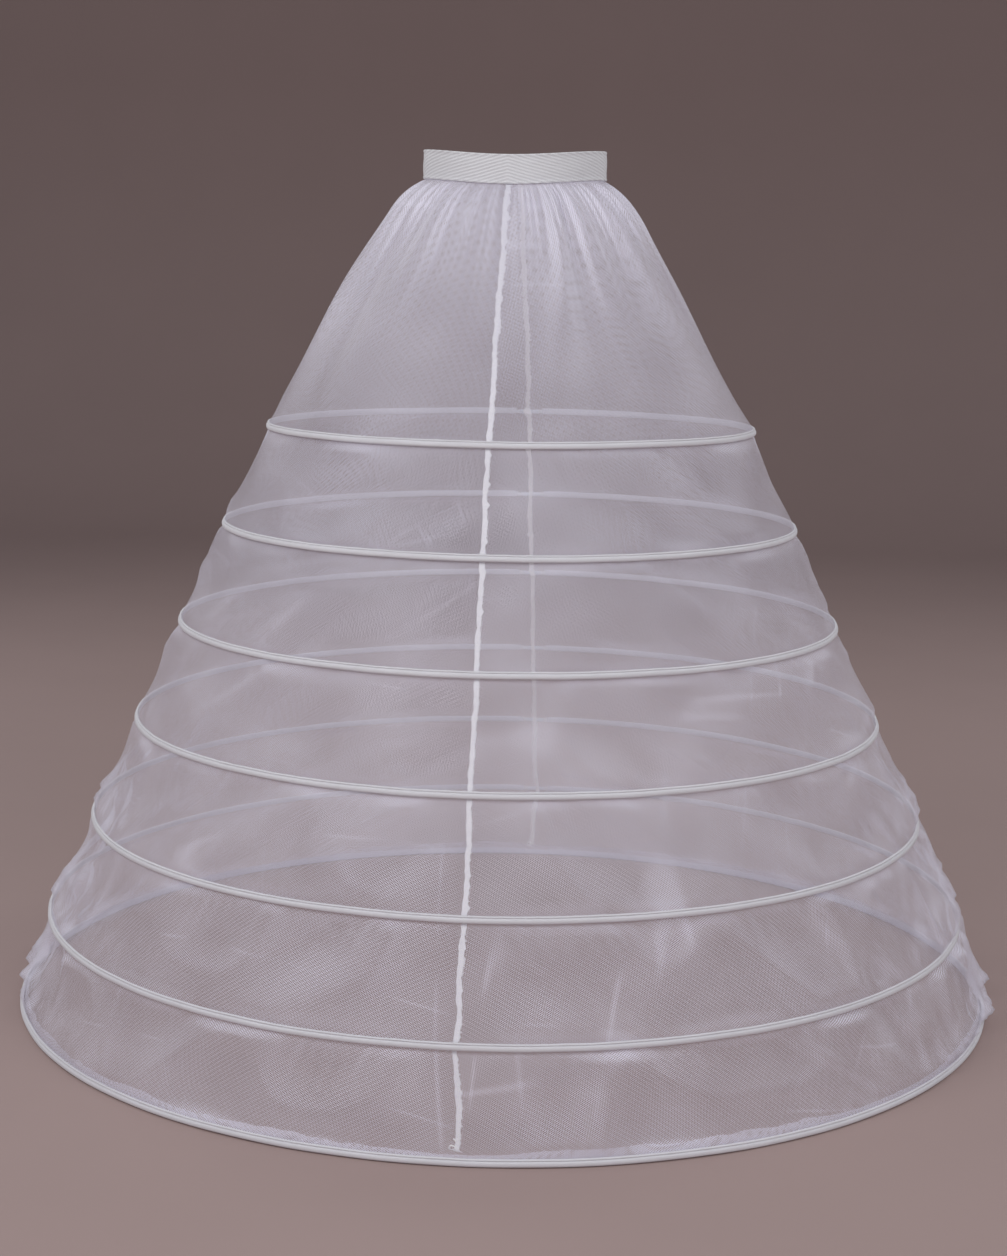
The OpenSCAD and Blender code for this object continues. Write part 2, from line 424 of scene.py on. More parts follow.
def net_finish(sizes, colour):
    """Hexagonal net, open between its threads, which lie closer in rows, creases and the turned-up hem"""
    f = Finish("net", colour, 0.55, 0.2)
    cut = f.coords.outputs["UV"]
    scaled = f.vector("SCALE", cut)
    scaled.node.inputs["Scale"].default_value = 1 / sizes.net_pitch
    cell = (1.0, math.sqrt(3), 1.0)
    half = (0.5, math.sqrt(3) / 2, 0.0)
    near = []
    for shift in ((0.0, 0.0, 0.0), half):
        moved = f.vector("ADD", scaled, shift)
        near.append(f.vector("SUBTRACT", f.vector("WRAP", moved, cell, (0.0, 0.0, 0.0)), half))
    reach = []
    for offset in near:
        size = f.vector("ABSOLUTE", offset)
        slant = f.vector("DOT_PRODUCT", size, half)
        reach.append(f.math("MAXIMUM", f.split(size)[0], slant))
    middle = f.math("MINIMUM", *reach)
    across, along, _ = f.split(cut)
    slanting = f.math("MULTIPLY_ADD", across, HATCH_ACROSS, f.scaled(along, HATCH_ALONG))
    rows = f.wave(slanting, HATCH_SPACING)
    cloud = f.node("ShaderNodeAttribute", attribute_name="cloud").outputs["Fac"]
    fold = f.node("ShaderNodeAttribute", attribute_name="fold").outputs["Fac"]
    lines = f.math("ADD", f.creases(52, 1.3, 0.10, 0.016), f.creases(-28, 1.1, 0.12, 0.014))
    lines = f.scaled(lines, f.step(cloud, 0.50, 0.66))
    dense = f.math("MULTIPLY_ADD", lines, 0.5, f.math("MULTIPLY_ADD", rows, HATCH_WIDTH, fold))
    width = f.scaled(dense, sizes.net_thread / sizes.net_pitch / 2)
    thread = f.step(middle, f.math("SUBTRACT", 0.5, f.scaled(width, 1.25)),
                    f.math("SUBTRACT", 0.5, f.scaled(width, 0.75)))
    f.links.new(thread, f.shader.inputs["Alpha"])
    f.tint(cloud, shade(colour, 0.95), shade(colour, 1.04))
    f.rough(cloud, 0.40, 0.66)
    f.bump(rows, 0.0002, 0.3)
    return f.material


def tape_finish(colour):
    """Woven tape: fine cross ribs on the tape's own run, with slight soiling"""
    f = Finish("casing_tape", colour, 0.6, 0.25)
    run, across, _ = f.split(f.coords.outputs["UV"])
    ribs = f.wave(run, 0.0011)
    twill = f.wave(f.math("ADD", run, across), 0.0024)
    weave = f.math("ADD", f.scaled(ribs, 0.6), f.scaled(twill, 0.4))
    f.bump(f.math("ADD", weave, f.noise(220.0)), 0.00018, 0.7)
    f.tint(f.noise(26.0, 4.0), shade(colour, 0.93), shade(colour, 1.03))
    f.rough(f.noise(90.0), 0.5, 0.72)
    return f.material


def elastic_finish(colour):
    """Ribbed elastic: slanting ribs that meet at the centre front, over fine rows, with painted shade in the
    grooves between the ribs
    """
    f = Finish("waist_elastic", colour, 0.62, 0.2)
    run, height, _ = f.split(f.coords.outputs["UV"])
    slope = math.tan(math.radians(17))
    slanted = f.math("ADD", height, f.scaled(f.math("ABSOLUTE", run), slope))
    wander = f.scaled(f.noise(14.0), 0.0022)
    ribs = f.wave(f.math("ADD", slanted, wander), 0.0038)
    fine = f.scaled(f.math("MULTIPLY", f.wave(height, 0.0011), f.wave(run, 0.0009)), 0.25)
    f.bump(f.math("ADD", ribs, fine), 0.00028, 0.6)
    # Painted shade: the colour is darker in the grooves between the ribs and lighter on their crests
    f.tint(f.step(ribs, -1.0, 0.8), shade(colour, 0.89), shade(colour, 1.03))
    f.rough(f.noise(70.0), 0.55, 0.72)
    return f.material


def thread_finish(name, colour):
    """Twisted sewing thread"""
    f = Finish(name, colour, 0.5, 0.3)
    f.bump(f.noise(1400.0, 3.0), 0.0001, 0.6)
    f.tint(f.noise(120.0, 3.0), shade(colour, 0.92), shade(colour, 1.03))
    return f.material


def boning_finish(colour):
    """Flat boning in a woven sheath"""
    f = Finish("boning_sheath", colour, 0.5, 0.1)
    f.bump(f.noise(900.0, 2.0), 0.00012, 0.5)
    f.tint(f.noise(60.0, 3.0), shade(colour, 0.92), shade(colour, 1.03))
    f.rough(f.noise(200.0), 0.4, 0.6)
    return f.material


def joiner_finish(colour):
    """Milky plastic sleeve"""
    f = Finish("joiner_plastic", colour, 0.3)
    f.shader.inputs["Coat Weight"].default_value = 0.15
    f.tint(f.noise(180.0, 3.0), shade(colour, 0.94), shade(colour, 1.04))
    f.rough(f.noise(320.0), 0.24, 0.42)
    f.bump(f.noise(500.0), 0.00005, 0.4)
    return f.material


# The net's shape

def waist_folds(span, fall, t, seed, sizes):
    """Gathers and soft folds of one panel below the waistband, by its span from 0 to 1"""
    rng = np.random.default_rng(seed)
    warp = 0.45 * ripple(span, 0 * span, seed + 1, 0.06, 0.35, 9)
    small = np.sin(2 * math.pi * (sizes.gathers * span + warp))
    uneven = 0.65 + 0.5 * ripple(span, 0 * span, seed + 2, 0.05, 0.3, 9)
    small = small * uneven * sizes.gather_depth
    small = small * (1 - np.exp(-fall / 0.007)) * np.exp(-fall / 0.050)
    soft = np.zeros(np.broadcast(span, fall).shape)
    for k in range(sizes.drag_folds):
        start = (k + rng.uniform(0.15, 0.85)) / sizes.drag_folds
        drift = rng.uniform(-0.08, 0.18) * (1 if start < 0.5 else -1)
        width = rng.uniform(0.014, 0.036)
        depth = sizes.drag_depth * rng.uniform(0.4, 1.2)
        reach = rng.uniform(0.11, 0.30)
        middle = start + drift * (fall / 0.25) ** 1.2
        off = (span - middle) / (width * (1 + fall / 0.20))
        ridge = np.exp(-off ** 2) - 0.45 * np.exp(-((off - 1.5) / 1.2) ** 2)
        soft = soft + depth * ridge * (1 - np.exp(-fall / 0.020)) * np.exp(-(fall / reach) ** 2)
    broad = 0.0035 * ripple(span, fall / 2.5, seed + 3, 0.12, 0.4, 10)
    return (small + soft + broad * ease(fall / 0.06)) * ease((1 - t) / 0.12)


def creases(along, down, seed, count, tier_span):
    """Short soft creases lying across the cloth, in metres along and down the panel"""
    rng = np.random.default_rng(seed)
    total = np.zeros(along.shape)
    left, right = tier_span
    for _ in range(count):
        x = rng.uniform(left, right)
        y = rng.uniform(0.35, 1.08)
        turn = rng.choice([-1, 1]) * math.radians(rng.uniform(15, 60))
        length = rng.uniform(0.025, 0.090)
        width = rng.uniform(0.005, 0.010)
        depth = rng.choice([-1, 1]) * rng.uniform(0.0010, 0.0028)
        u = (along - x) * math.cos(turn) + (down - y) * math.sin(turn)
        v = -(along - x) * math.sin(turn) + (down - y) * math.cos(turn)
        total += depth * np.exp(-(u / length) ** 2 - (v / width) ** 2) * (1 - 0.5 * np.tanh(v / width))
    return total


def net_rows(sizes, angle, seed):
    """Rows of a panel from the waist to the turned-up hem: radius, height, freedom, share, fall and tier"""
    span = (angle - FRONT) / math.pi
    rows = []

    def row(r, z, free=0.0, t=1.0, fall=0.0, tier=HOOPS):
        rows.append([part + 0 * angle for part in (r, z, free, t, fall, tier)])

    # Behind the waistband, then out under it to the top hoop
    start = Waist.radius(angle) - WAIST_GAP
    bottom = Waist.bottom(angle) - NET_GAP
    for up in (1.0, 0.5, 0.0):
        row(start, bottom + Waist.overlap * up, t=0.0, tier=0)
    drop = bottom - casing_top(1)
    for j in range(1, YOKE_ROWS + 1):
        t = (j / YOKE_ROWS) ** 1.35
        puff = sizes.waist_puff * (1 - math.exp(-t / 0.06))
        row(mix(start + puff, net_radius(1, sizes), t), bottom - t * drop, 1.0, t, t * drop, 0)

    # Under each casing, then out and down to the next
    for i in range(1, HOOPS + 1):
        for t in (0.5, 1.0):
            row(net_radius(i, sizes), mix(casing_top(i), casing_bottom(i), t), tier=i)
        if i == HOOPS:
            break
        gap = casing_bottom(i) - casing_top(i + 1)
        for j in range(1, TIER_ROWS + 1):
            t = (j / TIER_ROWS) ** 1.25
            bloom = sizes.hoop_bloom * (1 - math.exp(-t / 0.06))
            r = mix(net_radius(i, sizes) + bloom, net_radius(i + 1, sizes), t ** sizes.tier_hang)
            row(r, casing_bottom(i) - t * gap, 1.0, t, t * gap, i)

    # Hem fold and the turned-up edge inside
    foot = casing_bottom(HOOPS)
    inside = net_radius(HOOPS, sizes)
    for step_in, lift in ((0.0006, -0.0004), (0.0014, -0.0004), (0.0020, 0.0006)):
        row(inside - step_in, foot + lift)
    tall = casing_top(HOOPS) - foot
    edge = 0.50 + 0.34 * ripple(span, 0 * span, seed + 40, 0.10, 0.6, 8)
    edge = edge + 0.10 * ripple(span, 0 * span, seed + 41, 0.012, 0.05, 12)
    edge = sizes.turn_up * np.clip(edge, 0.2, 1.0) * (0.15 + 0.85 * ease((angle - FRONT) / 0.30))
    for part in (0.5, 1.0):
        row(inside - 0.0020, foot + tall * part)
    slope = (net_radius(HOOPS, sizes) - net_radius(HOOPS - 1, sizes)) / (casing_bottom(HOOPS - 1) - foot)
    for part in (0.35, 0.7, 1.0):
        lean = 0.0011 * part * (1 + ripple(span, 0 * span, seed + 42, 0.010, 0.04, 12))
        row(inside - 0.0021 - edge * part * slope - lean, foot + tall + edge * part)
    return np.moveaxis(np.array(rows), 1, 0)


def net_grid(sizes, seed, slack):
    """Points, cut and looks of the right panel: rows from waist to hem, columns front to back"""
    angle = np.linspace(FRONT, BACK, sizes.net_columns + 1)
    r, z, free, t, fall, tier = net_rows(sizes, angle, seed)
    slant = np.hypot(np.diff(r, axis=0), np.diff(z, axis=0))
    slant = np.vstack([0 * angle, np.cumsum(slant, axis=0)])
    along = r * angle

    # Cut of the cloth: a part of a ring, laid flat about the middle of the panel
    u = (CUT_RADIUS + slant) * np.sin(CUT_OPENING * angle)
    v = -(CUT_RADIUS + slant) * np.cos(CUT_OPENING * angle)

    # Folds of the yoke, then hang, creases and puckers between the hoops
    side = np.exp(-(angle / 0.6) ** 2)
    low = ease((slant - 0.70) / 0.25)
    span = (angle - FRONT) / math.pi + 0 * slant
    yoke = waist_folds(span, fall, t, seed, sizes)
    between = ease(t / 0.10) * ease((1 - t) / 0.10)
    sway = 0.0030 * ripple(along, slant, seed + 5, 0.10, 0.34, 14)
    crumple = creases(along, slant, seed + 6, 64, (-0.85, 0.85))
    facets = 0.0040 * ridges(along, slant, seed + 9, 0.14, 0.40)
    crush = 0.5 * ridges(along, slant / 1.3, seed + 7, 0.06, 0.20)
    pleats = 0.7 * ridges(along, slant / 7, seed + 10, 0.06, 0.16)
    bunch = 0.45 * ridges(along, slant / 2, seed + 11, 0.025, 0.07) * ease((t - 0.45) / 0.3)
    crush = sizes.side_fold * (crush + pleats + bunch) * side * low
    above = 0.8 * ease((t - 0.8) / 0.2) * ease((1 - t) / 0.02)
    below = np.exp(-fall / 0.022) * ease(fall / 0.004)
    pucker = 0.0012 * ripple(along, slant * 0.12, seed + 8, 0.012, 0.035, 16) * (above + below)
    tiers = between * (sway + crumple + facets + crush) + pucker

    seam_clear = ease((angle - FRONT) / 0.18) * ease((BACK - angle) / 0.18)
    folds = free * seam_clear * np.where(tier == 0, yoke, tiers)
    hang = free * 4 * t * (1 - t) * side * np.where(tier == 0, slack[0], slack[1] * low)
    hang = hang + 0.006 * side * (tier == HOOPS - 1) * np.exp(-((t - 0.88) / 0.07) ** 2) * between
    steep = np.hypot(np.gradient(folds, axis=1) / np.gradient(along, axis=1),
                     np.gradient(folds, axis=0) / np.maximum(np.gradient(slant, axis=0), 0.001))
    gathered = 0.55 * (1 - ease((slant - 0.03) / 0.40))
    dense = np.clip(1.4 * steep, 0, 1.2) + 0.7 * (tier == HOOPS) + gathered

    r = r + folds + hang
    points = polar(r, angle, z)
    cloud = 0.5 + 0.22 * ripple(u, v, seed + 12, 0.06, 0.40, 24)
    return points, np.stack([u, v], -1), {"fold": 0.62 + 0.5 * cloud + dense, "cloud": cloud}


def seam_line(sizes, angle):
    """Radius and height of the net at a seam, evenly spaced from the waist to the turned-up hem"""
    r, z, _, _, _, tier = net_rows(sizes, np.array([angle]), 0)[:, :, 0]
    kept = (tier < HOOPS) & (z > casing_top(HOOPS) + 0.0005)
    path = np.stack([r[kept], z[kept]], -1)
    length = np.concatenate([[0], np.cumsum(np.linalg.norm(np.diff(path, axis=0), axis=1))])
    even = np.linspace(0, length[-1], int(length[-1] / SEAM_STEP))
    return np.stack([np.interp(even, length, path[:, k]) for k in (0, 1)], -1), even


def seam_strip(sizes, angle, seed):
    """Outlines, middle line and half width of a seam with a ragged edge, which strays in the lowest tier"""
    line, run = seam_line(sizes, angle)
    fixed = 0 * run
    r = line[:, 0] - SEAM_GAP - sizes.seam_thickness / 2
    side = 0.0011 * ripple(run, fixed, seed, 0.03, 0.16, 10)
    side = side + 0.0005 * ripple(run, fixed, seed + 3, 0.008, 0.03, 10)
    low = (run - run[-1]) / (casing_bottom(HOOPS - 1) - casing_top(HOOPS)) + 1
    side = side + sizes.seam_stray * (ease((low - 0.15) / 0.5) - 0.35 * np.exp(-(low / 0.12) ** 2))
    width = sizes.seam_width / 2 * (1 - 0.10 * ease(run / 0.5))
    width = width * (1 + 0.26 * ripple(run, fixed, seed + 1, 0.005, 0.03, 14))
    thick = sizes.seam_thickness / 2 * (1 + 0.14 * ripple(run, fixed, seed + 2, 0.006, 0.02, 12))
    turn = np.arange(12) / 12 * 2 * math.pi
    across = np.sign(np.cos(turn)) * np.abs(np.cos(turn)) ** 0.7
    ragged = 0.8 * np.maximum(0, ripple(run, fixed, seed + 4, 0.008, 0.024, 16)) ** 1.5
    radial = r[:, None] + thick[:, None] * np.sin(turn)
    lateral = side[:, None] + width[:, None] * across * (1 + ragged[:, None] * (across > 0.3))
    outlines = beside(angle, radial, lateral, line[:, 1:])
    return outlines, beside(angle, r, side, line[:, 1]), width


def seam_tail(foot, inward):
    """Outlines of the cord of thread that curls up from the foot of a seam"""
    curl = np.linspace(0, 2.5 * math.pi, 44)
    rise = 0.0038 * np.sin(curl) + 0.0010 * curl
    middle = np.stack([0.0038 * (np.cos(curl) - 1), inward * 0.0004 * curl, rise], -1)
    turned = np.stack([np.cos(curl), 0 * curl, np.sin(curl)], -1)
    round_it = np.arange(8) / 8 * 2 * math.pi
    thick = 0.0009 * (1 + 0.2 * ripple(curl, 0 * curl, 77, 0.4, 1.2, 8))
    ring = np.cos(round_it)[:, None] * turned[:, None] + np.sin(round_it)[:, None] * np.array([0, 1, 0])
    return (foot + middle)[:, None] + thick[:, None, None] * ring


# Stitches by Geometry Nodes

def stitch_tree():
    """Thread stitches along a path: each lies along it, or slants to and fro across it"""
    tree = bpy.data.node_groups.new("stitches_along_path", "GeometryNodeTree")
    face = tree.interface
    face.new_socket("Path", in_out="INPUT", socket_type="NodeSocketGeometry")
    for name in ("Spacing", "Length", "Width", "Slant", "Unevenness"):
        face.new_socket(name, in_out="INPUT", socket_type="NodeSocketFloat")
    face.new_socket("Seed", in_out="INPUT", socket_type="NodeSocketInt")
    face.new_socket("Thread", in_out="INPUT", socket_type="NodeSocketMaterial")
    face.new_socket("Stitches", in_out="OUTPUT", socket_type="NodeSocketGeometry")
    add, link = tree.nodes.new, tree.links.new
    given, made = add("NodeGroupInput"), add("NodeGroupOutput")

    curve = add("GeometryNodeMeshToCurve")
    even = add("GeometryNodeResampleCurve")
    even.mode = "LENGTH"
    link(given.outputs["Path"], curve.inputs["Mesh"])
    link(curve.outputs["Curve"], even.inputs["Curve"])
    link(given.outputs["Spacing"], even.inputs["Length"])

    grain = add("GeometryNodeMeshUVSphere")
    grain.inputs["Segments"].default_value = 6
    grain.inputs["Rings"].default_value = 4
    grain.inputs["Radius"].default_value = 0.5

    tangent = add("GeometryNodeInputTangent")
    turned = add("FunctionNodeAlignRotationToVector")
    turned.axis = "X"
    link(tangent.outputs[0], turned.inputs["Vector"])
    position = add("GeometryNodeInputPosition")
    level = add("ShaderNodeVectorMath")
    level.operation = "MULTIPLY"
    level.inputs[1].default_value = (1, 1, 0)
    link(position.outputs[0], level.inputs[0])
    upright = add("FunctionNodeAlignRotationToVector")
    upright.axis = "Z"
    upright.pivot_axis = "X"
    link(turned.outputs[0], upright.inputs["Rotation"])
    link(level.outputs[0], upright.inputs["Vector"])

    index = add("GeometryNodeInputIndex")
    parity = add("ShaderNodeMath")
    parity.operation = "MODULO"
    parity.inputs[1].default_value = 2
    link(index.outputs[0], parity.inputs[0])
    side = add("ShaderNodeMath")
    side.operation = "MULTIPLY_ADD"
    side.inputs[1].default_value = 2
    side.inputs[2].default_value = -1
    link(parity.outputs[0], side.inputs[0])
    lean = add("ShaderNodeMath")
    lean.operation = "MULTIPLY"
    link(side.outputs[0], lean.inputs[0])
    link(given.outputs["Slant"], lean.inputs[1])
    stray = add("FunctionNodeRandomValue")
    stray.data_type = "FLOAT"
    stray.inputs[2].default_value = -1
    stray.inputs[3].default_value = 1
    link(given.outputs["Seed"], stray.inputs["Seed"])
    uneven = add("ShaderNodeMath")
    uneven.operation = "MULTIPLY_ADD"
    link(stray.outputs[1], uneven.inputs[0])
    link(given.outputs["Unevenness"], uneven.inputs[1])
    link(lean.outputs[0], uneven.inputs[2])
    spin = add("ShaderNodeCombineXYZ")
    link(uneven.outputs[0], spin.inputs["Z"])
    size = add("ShaderNodeCombineXYZ")
    link(given.outputs["Length"], size.inputs["X"])
    link(given.outputs["Width"], size.inputs["Y"])
    link(given.outputs["Width"], size.inputs["Z"])

    copies = add("GeometryNodeInstanceOnPoints")
    link(even.outputs["Curve"], copies.inputs["Points"])
    link(grain.outputs["Mesh"], copies.inputs["Instance"])
    link(upright.outputs[0], copies.inputs["Rotation"])
    link(size.outputs[0], copies.inputs["Scale"])
    slanted = add("GeometryNodeRotateInstances")
    link(copies.outputs["Instances"], slanted.inputs["Instances"])
    link(spin.outputs[0], slanted.inputs["Rotation"])
    real = add("GeometryNodeRealizeInstances")
    smooth = add("GeometryNodeSetShadeSmooth")
    coloured = add("GeometryNodeSetMaterial")
    link(slanted.outputs["Instances"], real.inputs["Geometry"])
    link(real.outputs["Geometry"], smooth.inputs["Geometry"])
    link(smooth.outputs["Geometry"], coloured.inputs["Geometry"])
    link(given.outputs["Thread"], coloured.inputs["Material"])
    link(coloured.outputs["Geometry"], made.inputs["Stitches"])
    return tree


def stitches(name, path, material, spacing, length, width, slant=0.0, uneven=0.06, seed=1, ring=False):
    """Stitches along a path of points, as one plain mesh"""
    tree = bpy.data.node_groups.get("stitches_along_path") or stitch_tree()
    sockets = {s.name: s.identifier for s in tree.interface.items_tree if s.in_out == "INPUT"}
    count = len(path)
    ends = [(k, (k + 1) % count) for k in range(count if ring else count - 1)]
    mesh = bpy.data.meshes.new(name)
    mesh.from_pydata(np.asarray(path).tolist(), ends, [])
    piece = bpy.data.objects.new(name, mesh)
    bpy.context.scene.collection.objects.link(piece)
    sewing = piece.modifiers.new("stitches", "NODES")
    sewing.node_group = tree
    values = {"Spacing": spacing, "Length": length, "Width": width, "Slant": slant, "Unevenness": uneven,
              "Seed": seed, "Thread": material}
    for key, value in values.items():
        sewing[sockets[key]] = value
    keep_modified(piece)
    return piece


# Swept pieces

def sweep(name, rings, material, uv=None, ring=False):
    """Skin over a row of closed outlines of equal length, capped or joined into a ring"""
    rings = np.asarray(rings)
    steps, sides = rings.shape[:2]
    faces = []
    for a in range(steps if ring else steps - 1):
        b = (a + 1) % steps
        for j in range(sides):
            k = (j + 1) % sides
            faces.append([a * sides + k, b * sides + k, b * sides + j, a * sides + j])
    if not ring:
        faces.append(list(reversed(range(sides))))
        faces.append([(steps - 1) * sides + j for j in range(sides)])
    return new_piece(name, rings, faces, material, uv)


# Section of a casing about its boning, in millimetres out and up
CASING_OUTLINE = np.array([
    (-2.2, -0.9), (-1.95, -2.3), (-1.1, -3.1), (0.0, -3.3), (1.1, -3.1), (1.95, -2.3), (2.2, -1.1),
    (2.2, 0.1), (1.95, 1.2), (1.45, 1.95), (0.8, 2.4), (0.05, 2.62), (0.0, 3.0), (0.7, 3.2),
    (0.8, 3.75), (0.45, 4.4), (-0.5, 4.75), (-1.6, 4.75), (-2.2, 4.35), (-2.2, 1.9)]) / 1000
CASING_TUNNEL = np.array([
    (-1.2, -0.9), (-1.15, -1.7), (-0.75, -2.2), (0.0, -2.35), (0.75, -2.2), (1.15, -1.7), (1.2, -0.9),
    (1.2, 0.3), (1.2, 1.2), (0.95, 1.95), (0.4, 2.25), (0.0, 2.3), (-0.25, 2.29), (-0.5, 2.22),
    (-0.75, 2.1), (-0.92, 1.95), (-1.05, 1.8), (-1.14, 1.6), (-1.18, 1.4), (-1.2, 0.5)]) / 1000

# Section of the waistband: millimetres out from its inner face, and share of its height
BAND_OUT = np.array([
    0.4, 1.5, 2.0, 2.0, 1.6, 1.85, 1.95, 2.0, 1.95, 1.85, 1.6, 2.0, 2.0, 1.5, 0.4,
    0.0, 0.0, 0.0, 0.0, 0.0]) / 1000
BAND_SHARE = np.array([
    0.0, 0.0, 0.02, 0.06, 0.09, 0.16, 0.3, 0.5, 0.7, 0.84, 0.91, 0.94, 0.98, 1.0, 1.0,
    0.98, 0.75, 0.5, 0.25, 0.02])


def casing_piece(i, sizes, material):
    """Folded tape sewn to the net: a tube round the hoop with its doubled edge standing above it"""
    middle = hoop_radius(i) - sizes.casing_depth / 2
    open_angle = sizes.casing_opening / middle
    steps = int(2 * math.pi * middle / CASING_STEP)
    angle = np.linspace(BACK + open_angle / 2, BACK + 2 * math.pi - open_angle / 2, steps)
    run = angle * middle
    fixed = 0 * run
    sway_out = 0.00020 * ripple(run, fixed, 300 + i, 0.05, 0.25, 10)
    sway_up = 0.00030 * ripple(run, fixed, 320 + i, 0.06, 0.40, 10)
    pucker = 0.00022 * ripple(run, fixed, 340 + i, 0.016, 0.040, 14)
    outline = np.repeat(CASING_OUTLINE[None], steps, axis=0).copy()
    tunnel = np.repeat(CASING_TUNNEL[None], steps, axis=0)
    raised = ease((CASING_OUTLINE[:, 1] - 0.0026) / 0.002)
    ahead = angle - FRONT - 2 * math.pi
    lap = sizes.tape_lap * ((i == 1) & (ahead > TAPE_JOIN[0]) & (ahead < TAPE_JOIN[1]))
    outline[:, :, 0] += lap[:, None] * (CASING_OUTLINE[:, 0] > 0)
    outline[:, :, 0] += pucker[:, None] * raised * 0.8
    outline[:, :, 1] += pucker[:, None] * raised
    rings = []
    for section in (outline, tunnel):
        r = middle + section[:, :, 0] + sway_out[:, None]
        z = hoop_height(i) + section[:, :, 1] + sway_up[:, None]
        rings.append(polar(r, angle[:, None], z))
    sides = len(CASING_OUTLINE)
    loop = np.concatenate([rings[0], rings[1]], axis=1)
    faces = []
    total = 2 * sides
    for a in range(steps - 1):
        for j in range(sides):
            k = (j + 1) % sides
            p, q = a * total, (a + 1) * total
            faces.append([p + k, q + k, q + j, p + j])
            faces.append([p + sides + j, q + sides + j, q + sides + k, p + sides + k])
    for a, turn in ((0, -1), (steps - 1, 1)):
        for j in range(sides):
            k = (j + 1) % sides
            p = a * total
            faces.append([p + j, p + k, p + sides + k, p + sides + j][::turn])
    around = np.concatenate([[0], np.cumsum(np.linalg.norm(np.diff(CASING_OUTLINE, axis=0), axis=1))])
    across = np.concatenate([around, around])
    uv = np.stack(np.broadcast_arrays(run[:, None], across[None, :]), -1)
    return new_piece(f"casing_tape_{i}", loop, faces, material, uv), angle, middle, sway_out, sway_up


# Operators

class PETTICOAT_OT_net_panels(bpy.types.Operator):
    """Make the two gathered net panels with their folds and turned-up hem"""

    bl_idname = "petticoat.net_panels"
    bl_label = "Net Panels"

    def execute(self, context):
        sizes = context.scene.petticoat_sizes
        material = net_finish(sizes, context.scene.petticoat_colours.net)
        for side, turn, seed, slack in PANELS:
            points, cut, looks = net_grid(sizes, seed, slack)
            points[:, :, 0] *= turn
            cut[:, :, 0] += 2 * turn
            faces = strip_faces(*points.shape[:2], flip=turn < 0)
            panel = new_piece(f"net_{side}", points, faces, material, cut, looks)
            place(panel, "net", f"net_panel_{side}")
        return {"FINISHED"}


class PETTICOAT_OT_casings(bpy.types.Operator):
    """Make the seven tape casings and the stitching that holds them to the net"""

    bl_idname = "petticoat.casings"
    bl_label = "Hoop Casings"

    def execute(self, context):
        sizes = context.scene.petticoat_sizes
        colours = context.scene.petticoat_colours
        tape = tape_finish(colours.tape)
        thread = thread_finish("sewing_thread", colours.thread)
        for i in range(1, HOOPS + 1):
            piece, angle, middle, out, up = casing_piece(i, sizes, tape)
            place(piece, "tape", f"casing_{i}")
            path = polar(middle + STITCH_OUT + out, angle, hoop_height(i) + STITCH_UP + up)
            sewn = stitches(f"casing_stitches_{i}", path, thread, sizes.stitch_spacing, sizes.stitch_length,
                            sizes.stitch_width, seed=i)
            place(sewn, "tape")
        return {"FINISHED"}


class PETTICOAT_OT_waistband(bpy.types.Operator):
    """Make the ribbed elastic waistband with its selvages and edge stitching"""

    bl_idname = "petticoat.waistband"
    bl_label = "Waistband"

    def execute(self, context):
        colours = context.scene.petticoat_colours
        angle = FRONT + np.arange(WAIST_STEPS) * 2 * math.pi / WAIST_STEPS
        inner = Waist.radius(angle)
        edge = polar(inner, angle, 0.0)
        run = np.concatenate([[0], np.cumsum(np.linalg.norm(np.diff(edge, axis=0), axis=1))])
        low = Waist.bottom(angle)
        tall = Waist.height
        soft = 0.00035 * ripple(run[:, None], BAND_SHARE[None, :] * 0.05, 71, 0.02, 0.09, 16)
        gather = 0.0003 * np.sin(2 * math.pi * run / 0.0066 + ripple(run, 0 * run, 72, 0.03, 0.1, 8))
        gather = gather[:, None] * np.exp(-(BAND_SHARE / 0.14) ** 2)
        r = inner[:, None] + BAND_OUT + (gather + soft) * (BAND_OUT > 0)
        rings = polar(r, angle[:, None], low[:, None] + tall * BAND_SHARE)
        along = np.where(run > run[-1] / 2, run - run[-1], run)
        uv = np.stack(np.broadcast_arrays(along[:, None], BAND_SHARE[None, :] * tall), -1)
        band = sweep("waist_elastic", rings, elastic_finish(colours.elastic), uv, ring=True)
        place(band, "elastic", "waistband")
        thread = thread_finish("waist_thread", colours.thread)
        path = polar(inner + 0.0021, angle, low + 0.0022)
        sewn = stitches("waist_stitches", path, thread, seed=31, ring=True, **WAIST_SEWING)
        place(sewn, "elastic")
        return {"FINISHED"}


class PETTICOAT_OT_seams(bpy.types.Operator):
    """Make the overlocked seams at the centre front and back"""

    bl_idname = "petticoat.seams"
    bl_label = "Seams"

    def execute(self, context):
        sizes = context.scene.petticoat_sizes
        thread = thread_finish("overlock_thread", context.scene.petticoat_colours.thread)
        for name, angle, seed in SEAMS:
            outlines, path, width = seam_strip(sizes, angle, seed)
            strip = sweep(name + "_binding", outlines, thread)
            place(strip, "seam_binding", name)
            tail = sweep(name + "_tail", seam_tail(path[-1], -math.sin(angle)), thread)
            place(tail, "seam_binding")
            frayed = path[6:] + width[6:, None] * (1.05, 0, 0)
            loops = stitches(name + "_loops", frayed, thread, seed=seed + 1, **LOOPS)
            place(loops, "seam_binding")
            sewn = stitches(name + "_stitches", path, thread, seed=seed, length=sizes.seam_width * 1.16,
                            **OVERLOCK)
            place(sewn, "seam_binding")
        return {"FINISHED"}


